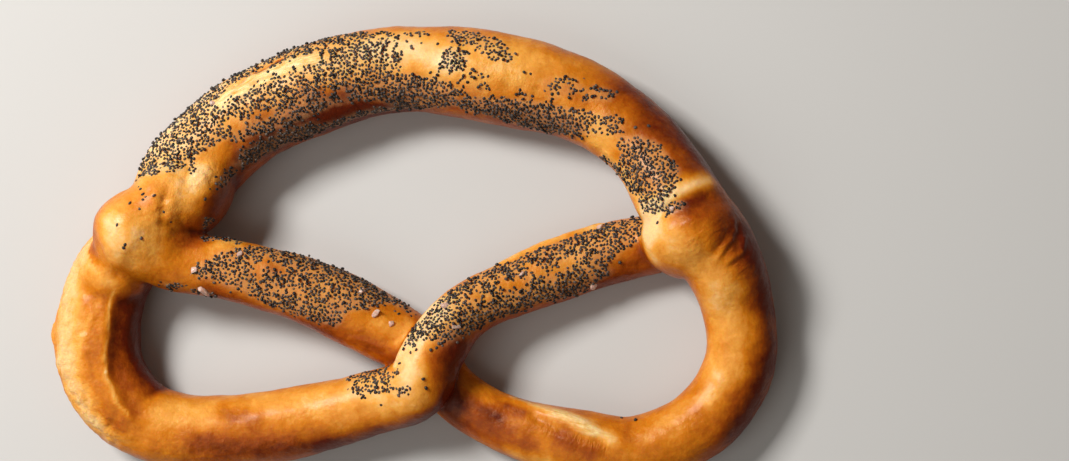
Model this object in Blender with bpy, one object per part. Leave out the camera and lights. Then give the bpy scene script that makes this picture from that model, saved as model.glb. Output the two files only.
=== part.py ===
"""A poppy-seed pretzel: one rope of dough, crossed once, baked and lying on its flat tray side.

Sizes are in millimetres and become metres as each mesh is made. +Z is up, +X runs along the
pretzel's width and +Y points from the crossing to the thick arch. The origin is on the tray,
at the middle of the pretzel's outline.
"""

import math
import random
from collections import namedtuple

import bmesh
import bpy
from mathutils import Euler, Matrix, Vector, noise
from mathutils.bvhtree import BVHTree

MM = 0.001

# The rope of dough. A station is a point of its middle line, seen from above, with the rope's half
# width there and how far the strand that it crosses lifts its underside off the tray.
Station = namedtuple("Station", "x y half_width lift")
ROPE_PARTS = {
    "left_arm": [
        Station(-75.7, 5.7, 12.5, 9.0),
        Station(-65.0, -1.6, 8.8, 8.5),
        Station(-50.0, -4.8, 8.6, 7.0),
        Station(-30.5, -10.0, 9.2, 4.0),
        Station(-12.5, -18.0, 9.4, 1.0),
        Station(1.5, -26.5, 8.7, 0.0),
        Station(12.0, -38.5, 7.5, 0.0),
    ],
    "right_loop": [
        Station(25.5, -47.0, 7.8, 0.0),
        Station(43.5, -52.0, 9.1, 0.0),
        Station(63.0, -54.5, 9.4, 0.0),
        Station(81.0, -47.5, 9.6, 0.0),
        Station(91.5, -33.0, 9.9, 0.0),
        Station(92.0, -16.5, 9.8, 2.0),
    ],
    "arch": [
        Station(87.0, -1.5, 11.0, 6.0),
        Station(77.5, 12.0, 11.7, 6.5),
        Station(65.5, 30.0, 10.7, 4.0),
        Station(47.0, 42.5, 11.8, 1.0),
        Station(23.0, 49.0, 12.9, 0.0),
        Station(-1.0, 52.0, 12.1, 0.0),
        Station(-24.0, 47.5, 12.8, 0.0),
        Station(-45.5, 38.5, 13.0, 0.0),
        Station(-62.8, 24.2, 13.0, 0.0),
        Station(-74.5, 8.5, 10.6, 0.0),
    ],
    "left_loop": [
        Station(-86.0, -6.0, 11.6, 0.0),
        Station(-89.7, -21.0, 12.1, 0.0),
        Station(-87.5, -34.5, 12.0, 0.0),
        Station(-76.0, -46.5, 11.0, 0.0),
        Station(-55.5, -50.0, 10.1, 0.0),
        Station(-31.0, -47.0, 10.1, 0.0),
        Station(-10.5, -42.0, 8.8, 4.0),
    ],
    "right_arm": [
        Station(3.0, -37.5, 9.0, 8.0),
        Station(8.0, -28.0, 8.8, 8.5),
        Station(16.5, -16.5, 7.9, 6.0),
        Station(34.5, -8.0, 8.3, 2.0),
        Station(53.5, -1.0, 8.6, 0.0),
        Station(70.0, 2.5, 8.3, 0.0),
        Station(80.0, 3.5, 7.2, 0.0),
    ],
}
STATIONS = [station for part in ROPE_PARTS.values() for station in part]
ROUNDNESS = 0.86  # a strand's height as a share of its width, after it has slumped in the oven
TRAY_FLAT = 1.0  # how deep the tray presses its flat into a strand

# Dough that swelled out of the rope where strands meet: an egg shape's middle, its half sizes and
# the turn of its length from +X
Swelling = namedtuple("Swelling", "x y z half_length half_width half_height turn")
SWELLINGS = [
    Swelling(-58.0, 16.5, 13.5, 12.5, 7.5, 12.0, 62.0),  # knuckle of the arch above the left joint
    Swelling(-68.5, 14.0, 15.0, 14.0, 10.5, 13.5, 55.0),  # between the rope's left end and the arch
    Swelling(-84.0, -4.0, 11.5, 12.0, 10.5, 10.5, 72.0),  # between the rope's left end and the loop
    Swelling(80.0, 4.5, 14.5, 14.3, 12.6, 13.0, 15.0),  # right shoulder, over the right arm's end
]

# How the rope's surface is divided
CURVE_STEPS = 40  # short straight pieces between two stations, to measure the rope's length
TANGENT_STEP = 0.02  # how far either side of a station number its direction is measured
RING_STEP = 2.0
RING_POINTS = 40
CAP_RINGS = 7
SWELLING_FINENESS = 4

# Fused dough: the crossing strands become one skin, then the skin is thinned to large facets.
SKIN_VOXEL = 1.3
DOUGH_TRIANGLES = 4800
TRAY_SLAB = Vector((300.0, 200.0, 20.0))

# Unevenness of the rope
LUMP_HEIGHT = 0.55
LUMP_LENGTH = 17.0

# Poppy seeds
SEED_SIZE = Vector((1.25, 1.0, 0.9))
SEED_COUNT = 180
SEED_SPACING = 4.3
SEED_SINK = 0.12
SEED_DRAW = 7
TRIES_PER_SEED = 60
SKIN_MATCH = 0.9  # a strand's own skin is under another strand where the fused skin is farther off

# Coarse salt
SALT_SIZE = Vector((2.4, 1.9, 1.6))
SALT_TOP = 0.7  # a grain's top as a share of its foot
SALT_SINK = 0.25

CRUST_COLOUR = (0.66, 0.31, 0.08, 1.0)
CRUST_ROUGHNESS = 0.36
SHARP_ANGLE = 50.0


def first_station(part):
    """The number of the part's first station, counted along the whole rope."""
    names = list(ROPE_PARTS)
    return sum(len(ROPE_PARTS[name]) for name in names[: names.index(part)])


# A place on the rope is a station number, which may be a fraction, and an angle round the strand:
# 0 is the outer side of the loops and the arch, 90 the top and 180 the inner side.
LEFT_ARM, RIGHT_LOOP, ARCH, LEFT_LOOP, RIGHT_ARM = (first_station(part) for part in ROPE_PARTS)

# A fold, seam or groove: how far it stands out of the strand, its half width, the half width of its
# inner slope as a share of that, and its route along the rope as station numbers and angles
Relief = namedtuple("Relief", "rise half_width inner_share route")
ROLLED_EDGE = (
    (LEFT_LOOP + 0.0, 117.0),
    (LEFT_LOOP + 0.5, 119.0),
    (LEFT_LOOP + 1.5, 115.0),
    (LEFT_LOOP + 2.0, 108.0),
    (LEFT_LOOP + 2.45, 100.0),
    (LEFT_LOOP + 3.1, 84.0),
)
BESIDE_ROLLED_EDGE = tuple((number, angle + 17.0) for number, angle in ROLLED_EDGE)
LOOP_SEAM = (
    (RIGHT_LOOP - 0.1, 146.0),
    (RIGHT_LOOP + 0.4, 143.0),
    (RIGHT_LOOP + 0.85, 134.0),
    (RIGHT_LOOP + 1.3, 124.0),
    (RIGHT_LOOP + 2.0, 94.0),
)
ARCH_SEAM = ((ARCH + 5.9, 62.0), (ARCH + 6.5, 52.0), (ARCH + 7.3, 58.0))
BLISTER = ((LEFT_LOOP + 0.9, 12.0), (LEFT_LOOP + 1.3, 12.0))
RELIEFS = [
    Relief(0.9, 3.0, 0.3, ROLLED_EDGE),
    Relief(-0.5, 2.0, 1.0, BESIDE_ROLLED_EDGE),
    Relief(1.2, 3.0, 0.8, LOOP_SEAM),
    Relief(0.8, 2.6, 1.0, ARCH_SEAM),
    Relief(1.2, 2.2, 1.0, BLISTER),
]

# Where the poppy seeds lie: a stretch of rope, with the middle and half width of its seeded band
Seeded = namedtuple("Seeded", "start end middle half_band")
SEEDED = [
    Seeded(ARCH + 0.9, ARCH + 2.6, 118.0, 52.0),
    Seeded(ARCH + 2.6, ARCH + 4.2, 108.0, 66.0),
    Seeded(ARCH + 4.2, ARCH + 7.4, 95.0, 85.0),
    Seeded(ARCH + 7.4, ARCH + 8.5, 65.0, 50.0),
    Seeded(LEFT_ARM + 1.7, LEFT_ARM + 4.5, 112.0, 50.0),
    Seeded(RIGHT_ARM + 0.5, RIGHT_ARM + 4.5, 107.0, 47.0),
    Seeded(LEFT_LOOP + 5.7, LEFT_LOOP + 6.8, 105.0, 35.0),
]

# The grains of coarse salt, and how long each is against its usual size
Grain = namedtuple("Grain", "station angle stretch")
SALTED = [
    Grain(LEFT_ARM + 1.45, 80.0, 1.0),
    Grain(LEFT_ARM + 1.65, 32.0, 1.7),
    Grain(LEFT_ARM + 2.12, 128.0, 1.0),
    Grain(LEFT_ARM + 3.8, 134.0, 1.0),
    Grain(LEFT_ARM + 4.15, 108.0, 1.2),
    Grain(RIGHT_ARM + 1.6, 72.0, 1.1),
    Grain(RIGHT_ARM + 1.77, 120.0, 1.2),
    Grain(RIGHT_ARM + 3.77, 26.0, 0.9),
    Grain(RIGHT_ARM + 4.12, 150.0, 1.0),
]


def catmull_rom(before, start, end, after, share):
    """The point at this share of the way from start to end, on a smooth curve through all four."""
    return 0.5 * (
        2 * start
        + (end - before) * share
        + (2 * before - 5 * start + 4 * end - after) * share**2
        + (3 * start - before - 3 * end + after) * share**3
    )


def rope_at(number):
    """Middle, half width and half height of the rope at a station number."""
    last = len(STATIONS) - 1
    index = min(max(int(number), 0), last - 1)
    near = [Vector(STATIONS[min(max(index + step, 0), last)]) for step in (-1, 0, 1, 2)]
    x, y, half_width, lift = catmull_rom(*near, number - index)
    half_height = ROUNDNESS * half_width
    return Vector((x, y, lift + half_height - TRAY_FLAT)), half_width, half_height


def even_numbers(step):
    """Station numbers that divide the rope into equal lengths of about one step."""
    count = (len(STATIONS) - 1) * CURVE_STEPS
    middles = [rope_at(i / CURVE_STEPS)[0] for i in range(count + 1)]
    along = [0.0]
    for one, other in zip(middles, middles[1:]):
        along.append(along[-1] + (other - one).length)
    pieces = round(along[-1] / step)
    numbers, i = [], 0
    for piece in range(pieces + 1):
        wanted = along[-1] * piece / pieces
        while i < count - 1 and along[i + 1] < wanted:
            i += 1
        share = (wanted - along[i]) / (along[i + 1] - along[i])
        numbers.append((i + share) / CURVE_STEPS)
    return numbers


def frame_at(number):
    """The rope's direction, its sideways direction (outwards on the loops) and its own upward one."""
    ahead = rope_at(number + TANGENT_STEP)[0] - rope_at(number - TANGENT_STEP)[0]
    ahead.normalize()
    side = ahead.cross(Vector((0, 0, 1))).normalized()
    return ahead, side, side.cross(ahead)


def angle_on(route, number):
    """The angle of a route where it passes a station number."""
    for (start, start_angle), (end, end_angle) in zip(route, route[1:]):
        if number <= end:
            return start_angle + (end_angle - start_angle) * (number - start) / (end - start)
    return route[-1][1]


def relief_at(number, angle, half_width):
    """How far the folds, seams and grooves stand out of the strand."""
    rise = 0.0
    for relief in RELIEFS:
        start, end = relief.route[0][0], relief.route[-1][0]
        if not start < number < end:
            continue
        away = math.radians(angle - angle_on(relief.route, number)) * half_width
        away /= relief.half_width * (relief.inner_share if away > 0 else 1.0)
        fade = math.sqrt(math.sin(math.pi * (number - start) / (end - start)))
        rise += relief.rise * fade * math.exp(-(away**2))
    return rise


def surface_at(number, angle):
    """A point of the strand's skin."""
    middle, half_width, half_height = rope_at(number)
    _, side, up = frame_at(number)
    turn = math.radians(angle)
    out = side * math.cos(turn) * half_width + up * math.sin(turn) * half_height
    point = middle + out
    lump = LUMP_HEIGHT * noise.noise(point / LUMP_LENGTH)
    return point + out.normalized() * (lump + relief_at(number, angle, half_width))


def cap_rings(number, ring, outwards):
    """Rings that close the rope's end to a round cap, from the last full ring outwards."""
    middle, half_width, _ = rope_at(number)
    rings = []
    for i in range(1, CAP_RINGS):
        turn = math.pi / 2 * i / CAP_RINGS
        shift = outwards * half_width * math.sin(turn)
        rings.append([middle + (point - middle) * math.cos(turn) + shift for point in ring])
    return rings


def rope_rings():
    """Rings of points along the rope, from one round end to the other."""
    numbers = even_numbers(RING_STEP)
    angles = [360.0 * i / RING_POINTS for i in range(RING_POINTS)]
    rings = [[surface_at(number, angle) for angle in angles] for number in numbers]
    first, last = numbers[0], numbers[-1]
    start = cap_rings(first, rings[0], -frame_at(first)[0])
    end = cap_rings(last, rings[-1], frame_at(last)[0])
    return start[::-1] + rings + end


def mesh_from(bm, name):
    mesh = bpy.data.meshes.new(name)
    bm.to_mesh(mesh)
    bm.free()
    return mesh


def add_object(name, mesh, collection):
    obj = bpy.data.objects.new(name, mesh)
    collection.objects.link(obj)
    return obj


def apply_modifiers(obj):
    """Keeps what the object's modifiers make as its own mesh."""
    graph = bpy.context.evaluated_depsgraph_get()
    made = bpy.data.meshes.new_from_object(obj.evaluated_get(graph))
    obj.modifiers.clear()
    obj.data = made


def add_swellings(bm):
    for swelling in SWELLINGS:
        middle = Matrix.Translation(Vector(swelling[:3]) * MM)
        turn = Matrix.Rotation(math.radians(swelling.turn), 4, "Z")
        half_sizes = Vector((swelling.half_length, swelling.half_width, swelling.half_height))
        shape = middle @ turn @ Matrix.Diagonal(half_sizes * MM).to_4x4()
        bmesh.ops.create_icosphere(bm, subdivisions=SWELLING_FINENESS, radius=1.0, matrix=shape)


def rope_mesh():
    """The rope and its swellings as closed shapes that still pass through each other."""
    bm = bmesh.new()
    rings = [[bm.verts.new(point * MM) for point in ring] for ring in rope_rings()]
    for ring, after in zip(rings, rings[1:]):
        for i in range(RING_POINTS):
            j = (i + 1) % RING_POINTS
            bm.faces.new((ring[i], ring[j], after[j], after[i]))
    bm.faces.new(rings[0][::-1])
    bm.faces.new(rings[-1])
    add_swellings(bm)
    bmesh.ops.recalc_face_normals(bm, faces=bm.faces)
    return mesh_from(bm, "pretzel")


def block_mesh(name, size):
    """A block of this size, centred on its origin."""
    bm = bmesh.new()
    bmesh.ops.create_cube(bm, size=1.0, matrix=Matrix.Diagonal(size * MM).to_4x4())
    return mesh_from(bm, name)


def make_tray_slab(collection):
    """A slab with its top face at tray level, which cuts the flat underside."""
    slab = add_object("tray_slab", block_mesh("tray_slab", TRAY_SLAB), collection)
    slab.data.transform(Matrix.Translation((0, 0, -TRAY_SLAB.z / 2 * MM)))
    slab.hide_render = True
    slab.display_type = "WIRE"
    return slab


def make_dough(collection):
    """The bare pretzel: one skin over the crossing strands, flat where it lay on the tray."""
    dough = add_object("pretzel", rope_mesh(), collection)
    skin = dough.modifiers.new("one_skin", "REMESH")
    skin.mode = "VOXEL"
    skin.voxel_size = SKIN_VOXEL * MM
    apply_modifiers(dough)

    facets = dough.modifiers.new("large_facets", "DECIMATE")
    facets.ratio = DOUGH_TRIANGLES / (2 * len(dough.data.polygons))
    facets.use_collapse_triangulate = True
    apply_modifiers(dough)

    slab = make_tray_slab(collection)
    cut = dough.modifiers.new("tray_side", "BOOLEAN")
    cut.operation = "DIFFERENCE"
    cut.object = slab
    apply_modifiers(dough)
    bpy.data.objects.remove(slab)
    return dough


def on_skin(skin, number, angle):
    """The place on the fused skin and its normal, or None where another strand covers it."""
    wanted = surface_at(number, angle) * MM
    place, normal, _, distance = skin.find_nearest(wanted)
    return (place, normal) if distance < SKIN_MATCH * MM else None


def salt_places(skin):
    return [on_skin(skin, grain.station, grain.angle) for grain in SALTED]


def seed_places(skin, taken, draw):
    """Places on the seeded stretches, no two of them, or of the taken ones, closer than the spacing."""
    areas = [(seeded.end - seeded.start) * seeded.half_band for seeded in SEEDED]
    places = []
    for _ in range(SEED_COUNT * TRIES_PER_SEED):
        seeded = draw.choices(SEEDED, areas)[0]
        number = draw.uniform(seeded.start, seeded.end)
        angle = seeded.middle + draw.uniform(-seeded.half_band, seeded.half_band)
        found = on_skin(skin, number, angle)
        if found and all(
            (found[0] - place).length > SEED_SPACING * MM for place, _ in taken + places
        ):
            places.append(found)
        if len(places) == SEED_COUNT:
            break
    return places


def laid_on(place, normal, turn, sink):
    """The matrix that lays a grain on the skin, turned about the skin's normal."""
    rotation = normal.to_track_quat("Z", "Y").to_matrix() @ Euler((0, 0, turn)).to_matrix()
    return Matrix.Translation(place - normal * sink * MM) @ rotation.to_4x4()


def seed_mesh():
    bm = bmesh.new()
    size = Matrix.Diagonal(SEED_SIZE * MM).to_4x4()
    bmesh.ops.create_icosphere(bm, subdivisions=1, radius=0.5, matrix=size)
    return mesh_from(bm, "poppy_seed")


def salt_mesh(stretch):
    """A block of salt whose top is smaller than its foot."""
    length, width, height = SALT_SIZE
    mesh = block_mesh("salt_grain", Vector((length * stretch, width, height)))
    for vertex in mesh.vertices:
        if vertex.co.z > 0:
            vertex.co.xy *= SALT_TOP
    return mesh


def make_toppings(dough, collection):
    """One object for each salt grain and poppy seed."""
    corners = [vertex.co for vertex in dough.data.vertices]
    skin = BVHTree.FromPolygons(corners, [face.vertices for face in dough.data.polygons])
    draw = random.Random(SEED_DRAW)
    salt = salt_places(skin)
    for i, (grain, (place, normal)) in enumerate(zip(SALTED, salt)):
        obj = add_object(f"salt_{i:02d}", salt_mesh(grain.stretch), collection)
        obj.matrix_world = laid_on(place, normal, draw.uniform(0, math.tau), SALT_SINK)
    seed = seed_mesh()
    for i, (place, normal) in enumerate(seed_places(skin, salt, draw)):
        obj = add_object(f"seed_{i:03d}", seed, collection)
        obj.matrix_world = laid_on(place, normal, draw.uniform(0, math.tau), SEED_SINK)


def fuse(dough, toppings):
    """Joins every topping to the dough, as one closed solid."""
    join = dough.modifiers.new("toppings", "BOOLEAN")
    join.operation = "UNION"
    join.operand_type = "COLLECTION"
    join.collection = toppings
    apply_modifiers(dough)
    for topping in list(toppings.objects):
        bpy.data.objects.remove(topping)
    bpy.data.collections.remove(toppings)


def crust_material():
    material = bpy.data.materials.new("crust")
    material.use_nodes = True
    shader = material.node_tree.nodes["Principled BSDF"]
    shader.inputs["Base Color"].default_value = CRUST_COLOUR
    shader.inputs["Roughness"].default_value = CRUST_ROUGHNESS
    shader.inputs["Metallic"].default_value = 0.0
    return material


def main():
    for obj in list(bpy.data.objects):
        bpy.data.objects.remove(obj)
    root = bpy.context.scene.collection
    toppings = bpy.data.collections.new("toppings")
    root.children.link(toppings)

    dough = make_dough(root)
    make_toppings(dough, toppings)
    fuse(dough, toppings)

    dough.data.materials.clear()
    dough.data.materials.append(crust_material())
    dough.data.shade_smooth()
    dough.data.set_sharp_from_angle(angle=math.radians(SHARP_ANGLE))


main()
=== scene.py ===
"""The looks of a poppy-seed pretzel: its baked crust, its seeds and its grains of coarse salt.

Sizes are in millimetres and angles in degrees, and sizes become metres as each mesh is made. +Z is
up, +X runs along the pretzel's width and +Y points from the crossing to the thick arch.
"""

import math
from collections import namedtuple
from itertools import product

import bmesh
import bpy
import numpy as np
from mathutils import Matrix, Vector, noise
from mathutils.kdtree import KDTree


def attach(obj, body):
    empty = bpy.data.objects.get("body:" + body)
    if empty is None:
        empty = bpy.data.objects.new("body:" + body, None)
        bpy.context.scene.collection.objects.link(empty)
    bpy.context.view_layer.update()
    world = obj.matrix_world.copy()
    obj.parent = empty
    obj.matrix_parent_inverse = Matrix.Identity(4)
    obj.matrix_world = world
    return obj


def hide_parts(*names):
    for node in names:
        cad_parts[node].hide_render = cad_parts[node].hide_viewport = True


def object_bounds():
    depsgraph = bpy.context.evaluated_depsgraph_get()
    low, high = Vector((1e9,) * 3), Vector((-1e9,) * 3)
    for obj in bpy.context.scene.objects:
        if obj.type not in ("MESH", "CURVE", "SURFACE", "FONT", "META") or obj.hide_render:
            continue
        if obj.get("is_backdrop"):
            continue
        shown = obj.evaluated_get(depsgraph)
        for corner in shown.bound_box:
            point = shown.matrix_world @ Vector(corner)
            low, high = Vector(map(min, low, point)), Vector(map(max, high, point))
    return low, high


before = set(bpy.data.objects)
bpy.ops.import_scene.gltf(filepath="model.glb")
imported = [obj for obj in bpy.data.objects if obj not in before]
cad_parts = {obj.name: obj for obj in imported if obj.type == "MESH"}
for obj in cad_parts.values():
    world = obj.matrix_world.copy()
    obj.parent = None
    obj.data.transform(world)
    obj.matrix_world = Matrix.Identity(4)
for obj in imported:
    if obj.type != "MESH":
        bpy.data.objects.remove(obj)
CAD_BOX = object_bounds()
MM = 0.001

# The rope of dough, as stations along its middle line: x and y, the rope's half width there, and how
# far the strand that it crosses lifts its underside off the tray
ROPE_PARTS = {
    "left_arm": [
        (-75.7, 5.7, 12.5, 9), (-65, -1.6, 8.8, 8.5), (-50, -4.8, 8.6, 7), (-30.5, -10, 9.2, 4),
        (-12.5, -18, 9.4, 1), (1.5, -26.5, 8.7, 0), (12, -38.5, 7.5, 0),
    ],
    "right_loop": [
        (25.5, -47, 7.8, 0), (43.5, -52, 9.1, 0), (63, -54.5, 9.4, 0), (81, -47.5, 9.6, 0),
        (91.5, -33, 9.9, 0), (92, -16.5, 9.8, 2),
    ],
    "arch": [
        (87, -1.5, 11, 6), (77.5, 12, 11.7, 6.5), (65.5, 30, 10.7, 4), (47, 42.5, 11.8, 1),
        (23, 49, 12.9, 0), (-1, 52, 12.1, 0), (-24, 47.5, 12.8, 0), (-45.5, 38.5, 13, 0),
        (-62.8, 24.2, 13, 0), (-74.5, 8.5, 10.6, 0),
    ],
    "left_loop": [
        (-86, -6, 11.6, 0), (-89.7, -21, 12.1, 0), (-87.5, -34.5, 12, 0), (-76, -46.5, 11, 0),
        (-55.5, -50, 10.1, 0), (-31, -47, 10.1, 0), (-10.5, -42, 8.8, 4),
    ],
    "right_arm": [
        (3, -37.5, 9, 8), (8, -28, 8.8, 8.5), (16.5, -16.5, 7.9, 6), (34.5, -8, 8.3, 2),
        (53.5, -1, 8.6, 0), (70, 2.5, 8.3, 0), (80, 3.5, 7.2, 0),
    ],
}
STATIONS = np.array([station for part in ROPE_PARTS.values() for station in part])
LAST = len(STATIONS) - 1
ROUNDNESS = 0.86  # a strand's height as a share of its width, after it has slumped in the oven
TRAY_FLAT = 1.0  # how deep the tray presses its flat into a strand
LUMP_HEIGHT, LUMP_LENGTH = 0.55, 17.0

# Dough that swelled out of the rope where strands meet: an egg shape's middle, its half sizes and
# the turn of its length from +X
Swelling = namedtuple("Swelling", "x y z half_length half_width half_height turn")
SWELLINGS = [
    Swelling(-58.0, 16.5, 13.5, 12.5, 7.5, 12.0, 62.0),  # knuckle of the arch above the left joint
    Swelling(-68.5, 14.0, 15.0, 14.0, 10.5, 13.5, 55.0),  # between the rope's left end and the arch
    Swelling(-84.0, -4.0, 11.5, 12.0, 10.5, 10.5, 72.0),  # between the rope's left end and the loop
    Swelling(80.0, 4.5, 14.5, 14.3, 12.6, 13.0, 15.0),  # right shoulder, over the right arm's end
]

# A place on the rope is a station number, which may be a fraction, and an angle round the strand:
# 0 is the outer side of the loops and the arch, 90 the top and 180 the inner side. Stations are
# counted along the whole rope, and these are the numbers of each part's first one.
PART_LENGTHS = [len(part) for part in ROPE_PARTS.values()]
LEFT_ARM, RIGHT_LOOP, ARCH, LEFT_LOOP, RIGHT_ARM = (sum(PART_LENGTHS[:i]) for i in range(5))

# A stroke is a band on the skin along a route of places on the rope, or of points seen from above.
# Its amount fades over its half width. A patch is the skin inside an outline of places on the rope.
Stroke = namedtuple("Stroke", "amount half_width route")
Patch = namedtuple("Patch", "amount outline")


def along(part, *places):
    """Places on the rope, from ones whose station numbers count from the part's first station."""
    return [(part + number, angle) for number, angle in places]


def strokes(part, *rows):
    """Strokes on the rope, from rows of an amount, a half width and the part's places."""
    return [Stroke(amount, width, along(part, *route)) for amount, width, *route in rows]


def from_above(*rows):
    """Strokes from rows of an amount, a half width and points seen from above."""
    return [Stroke(amount, width, route) for amount, width, *route in rows]


def patches(part, *rows):
    """Patches from rows of an amount and the outline's places on the part."""
    return [Patch(amount, along(part, *outline)) for amount, *outline in rows]


# A fold, seam or groove: how far it stands out of the strand, its half width, the half width of its
# inner slope as a share of that, and its route along the rope
Relief = namedtuple("Relief", "rise half_width inner_share route")
ROLLED_EDGE = along(LEFT_LOOP, (0, 117), (0.5, 119), (1.5, 115), (2, 108), (2.45, 100), (3.1, 84))
BESIDE_ROLLED_EDGE = [(number, angle + 17.0) for number, angle in ROLLED_EDGE]
LOOP_SEAM = along(RIGHT_LOOP, (-0.1, 146), (0.4, 143), (0.85, 134), (1.3, 124), (2, 94))
ARCH_SEAM = along(ARCH, (5.9, 62), (6.5, 52), (7.3, 58))
BLISTER = along(LEFT_LOOP, (0.9, 12), (1.3, 12))
RELIEFS = [
    Relief(0.9, 3.0, 0.3, ROLLED_EDGE),
    Relief(-0.5, 2.0, 1.0, BESIDE_ROLLED_EDGE),
    Relief(1.2, 3.0, 0.8, LOOP_SEAM),
    Relief(0.8, 2.6, 1.0, ARCH_SEAM),
    Relief(1.2, 2.2, 1.0, BLISTER),
]

# Fine folds, cracks and dents, with their height
FOLDS = strokes(
    ARCH,
    (-0.55, 0.9, (6.92, 57), (6.74, 52)),  # cracks of the arch's seam
    (-0.55, 0.9, (6.62, 47), (6.36, 40)),
    (-0.35, 0.9, (7.25, 64), (6.5, 62), (5.93, 66)),
    (-0.35, 0.9, (7.2, 46), (6.9, 38), (6.5, 34)),
) + strokes(
    RIGHT_LOOP,
    (-0.7, 1.3, (0.5, 122), (1.2, 102), (1.6, 96)),
) + strokes(
    RIGHT_ARM,
    (0.55, 1.3, (2.7, 166), (4.1, 168)),  # its upper edge
    (-0.45, 1.2, (2.7, 152), (4.1, 154)),
) + strokes(
    LEFT_ARM,
    (-0.4, 1.2, (3.9, 50), (4.3, 66), (4.65, 80)),
    (-0.25, 1, (4, 38), (4.6, 54)),
) + strokes(
    LEFT_LOOP,
    (-0.4, 2.5, (2.98, 136), (3.14, 164)),  # a dent
)
FOLDS_FROM_ABOVE = from_above(
    (-0.3, 1, (-86, 4.8), (-83.6, -0.7), (-80.9, -5.2), (-76.2, -8.9)),  # left end
    (-0.4, 0.8, (-81.2, -5.6), (-80.6, -6.6)),
    (-0.4, 1.2, (-62.3, 22.8), (-64.3, 18.6), (-65.4, 14.5)),  # round the knuckle
    (-0.7, 1, (-65.4, 14.5), (-66.2, 10.5), (-66.6, 7.6)),
    (-0.45, 0.9, (-65.6, 7.6), (-62.9, 5.7), (-60, 5.8)),
    (-0.55, 0.7, (-62.2, 8.8), (-60.9, 6.7), (-59.2, 6.1)),
    (0.3, 1.4, (-67.8, 15), (-67.2, 12)),
    (0.25, 1.2, (-66.4, 7.6), (-64.9, 5)),
    (-0.26, 0.7, (87.1, -0.8), (89.1, 2), (90.2, 4.2)),  # wrinkles of the shoulder
    (0.42, 0.6, (87.4, -2.7), (89.1, 0), (91.3, 2.5)),
    (-0.3, 0.7, (89.4, -1.6), (91.3, 1.1), (92.1, 3.4)),
    (0.4, 0.6, (91.6, 7.2), (91.9, 4.5)),
    (-0.3, 0.7, (92.4, 6.1), (92.8, 3.4), (92.4, 0)),
    (0.45, 0.6, (89.9, -4.1), (91.3, -2.8), (93.8, -1.1), (94.4, 2.8)),
    (-0.3, 0.8, (90.5, -5), (92.7, -3.9), (94.3, -2.5)),
    (0.35, 0.6, (79.1, 6.4), (80.5, 8.1)),
    (0.35, 0.6, (80.7, 6.1), (81.6, 8.4)),
    (-0.2, 1.1, (82, 4.6), (83.6, 1.2), (84.2, -2.9)),
    (-0.5, 1.1, (75.2, 15), (80.1, 13.6), (84.8, 13.1)),
    (0.5, 1.6, (72.5, 13.6), (80.6, 16.4), (85.5, 17)),
    (-0.4, 0.7, (72, 9.8), (77, 12.6), (83, 14.4)),
)

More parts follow.
